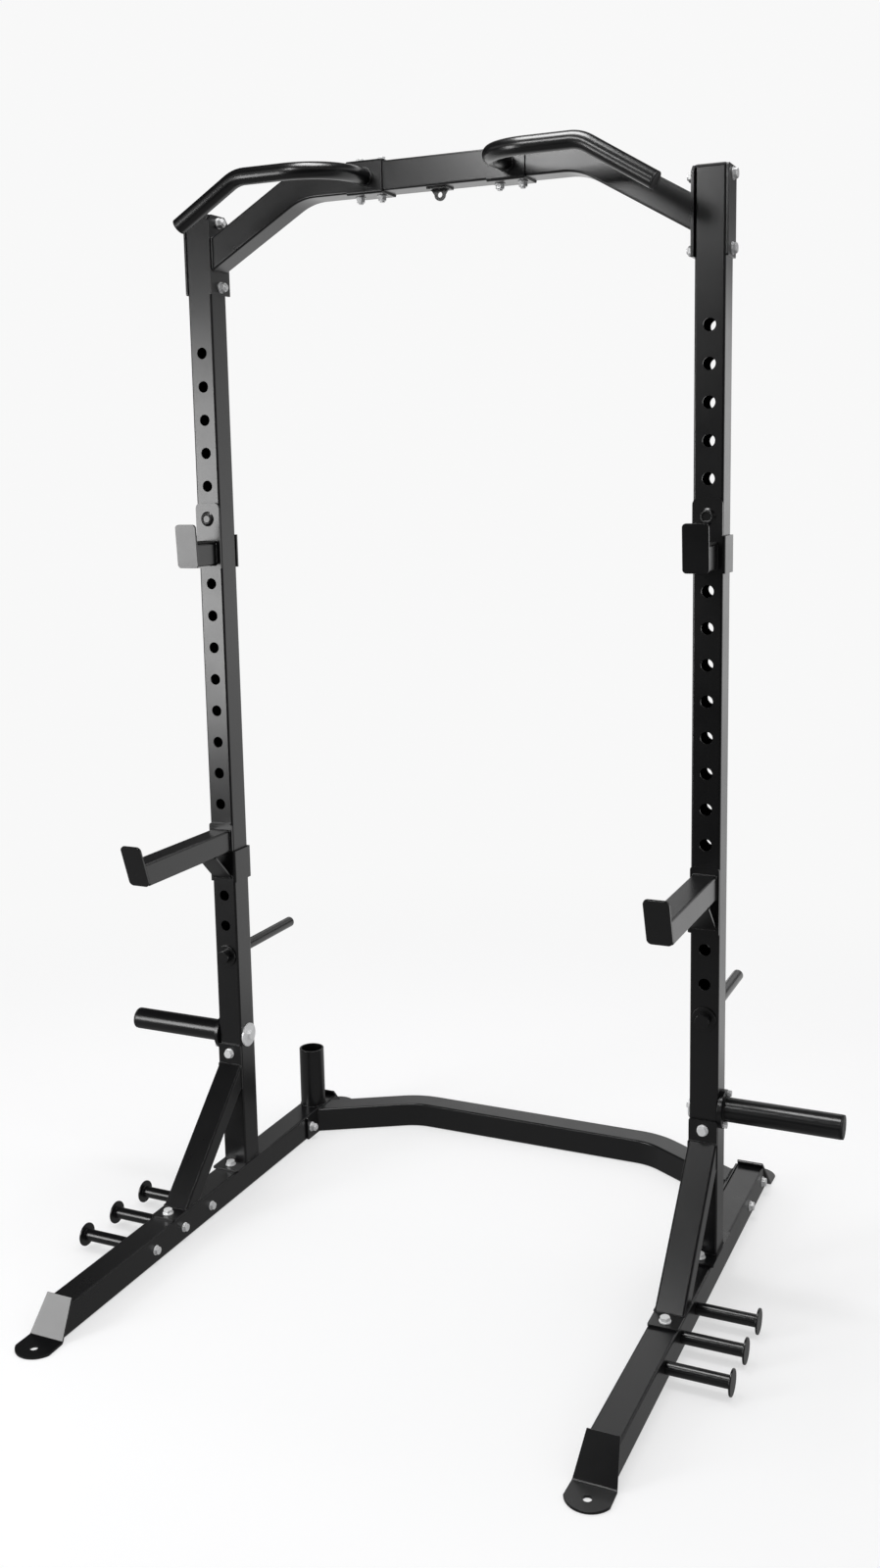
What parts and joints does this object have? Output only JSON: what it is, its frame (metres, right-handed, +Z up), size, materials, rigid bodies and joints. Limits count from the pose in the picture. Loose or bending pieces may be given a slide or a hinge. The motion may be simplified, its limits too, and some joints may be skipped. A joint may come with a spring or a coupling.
{
  "type": "power rack",
  "caption": "Open steel half rack with floor rails, pin-hole uprights, cranked pull-up beam with bent handles, bar hooks, spotter arms, plate horns and band pegs.",
  "frame": {"origin": "on the floor, midway between the two rails and at the middle of their length", "axes": "+X to the user's right as they face the rack, +Y to the back, +Z up"},
  "size_m": [1.7, 1.317, 2.3294],
  "materials": {
    "powder_coated_steel": "satin",
    "zinc_plated_steel": "bright",
    "moulded_plastic": "matte",
    "rubber_pad": "matte"
  },
  "bodies": {
    "frame": {"band_peg_left": "powder_coated_steel", "band_peg_right": "powder_coated_steel", "band_peg_washers": "powder_coated_steel", "bar_post": "powder_coated_steel", "base_plate_bolts": "zinc_plated_steel", "base_rail_left": "powder_coated_steel", "base_rail_right": "powder_coated_steel", "bolt_washers": "zinc_plated_steel", "brace_left": "powder_coated_steel", "brace_plates": "powder_coated_steel", "brace_right": "powder_coated_steel", "centre_lug": "powder_coated_steel", "centre_sleeves": "powder_coated_steel", "centre_tube": "powder_coated_steel", "crossmember_end_plates": "powder_coated_steel", "frame_through_bolts": "zinc_plated_steel", "front_feet": "powder_coated_steel", "handle_caps": "moulded_plastic", "lock_nuts": "zinc_plated_steel", "plate_horn_bolts": "zinc_plated_steel", "plate_horn_caps": "moulded_plastic", "plate_horn_flanges": "powder_coated_steel", "plate_horn_left": "powder_coated_steel", "plate_horn_right": "powder_coated_steel", "plate_horn_washers": "zinc_plated_steel", "pull_up_handle_left": "powder_coated_steel", "pull_up_handle_right": "powder_coated_steel", "rail_peg_bolts": "zinc_plated_steel", "rail_peg_discs": "powder_coated_steel", "rail_pegs": "powder_coated_steel", "rear_crossmember": "powder_coated_steel", "rear_feet": "powder_coated_steel", "top_arm_left": "powder_coated_steel", "top_arm_plates": "powder_coated_steel", "top_arm_right": "powder_coated_steel", "upright_base_plates": "powder_coated_steel", "upright_caps": "moulded_plastic", "upright_left": "powder_coated_steel", "upright_right": "powder_coated_steel", "weld_nuts": "zinc_plated_steel"},
    "left_hook": {"hook_bracket_left": "powder_coated_steel", "hook_pin_left": "powder_coated_steel", "hook_cradle_left": "powder_coated_steel", "hook_lip_left": "powder_coated_steel", "hook_pad_left": "rubber_pad"},
    "right_hook": {"hook_bracket_right": "powder_coated_steel", "hook_pin_right": "powder_coated_steel", "hook_cradle_right": "powder_coated_steel", "hook_lip_right": "powder_coated_steel", "hook_pad_right": "rubber_pad"},
    "left_spotter": {"spotter_bracket_left": "powder_coated_steel", "spotter_pin_left": "powder_coated_steel", "spotter_arm_left": "powder_coated_steel", "spotter_tip_left": "powder_coated_steel", "spotter_strap_left": "powder_coated_steel"},
    "right_spotter": {"spotter_bracket_right": "powder_coated_steel", "spotter_pin_right": "powder_coated_steel", "spotter_arm_right": "powder_coated_steel", "spotter_tip_right": "powder_coated_steel", "spotter_strap_right": "powder_coated_steel"}
  },
  "joints": [
    {"name": "left_hook_swing", "type": "hinge", "parent": "frame", "child": "left_hook", "pos_m": [-0.57, 0.1365, 1.5895], "axis": [0, 1, 0], "range_deg": [0, 90]},
    {"name": "right_hook_swing", "type": "hinge", "parent": "frame", "child": "right_hook", "pos_m": [0.57, 0.1365, 1.5895], "axis": [0, -1, 0], "range_deg": [0, 90]},
    {"name": "left_spotter_swing", "type": "hinge", "parent": "frame", "child": "left_spotter", "pos_m": [-0.57, 0.1365, 0.8645], "axis": [0, -1, 0], "range_deg": [0, 90]},
    {"name": "right_spotter_swing", "type": "hinge", "parent": "frame", "child": "right_spotter", "pos_m": [0.57, 0.1365, 0.8645], "axis": [0, 1, 0], "range_deg": [0, 90]}
  ]
}
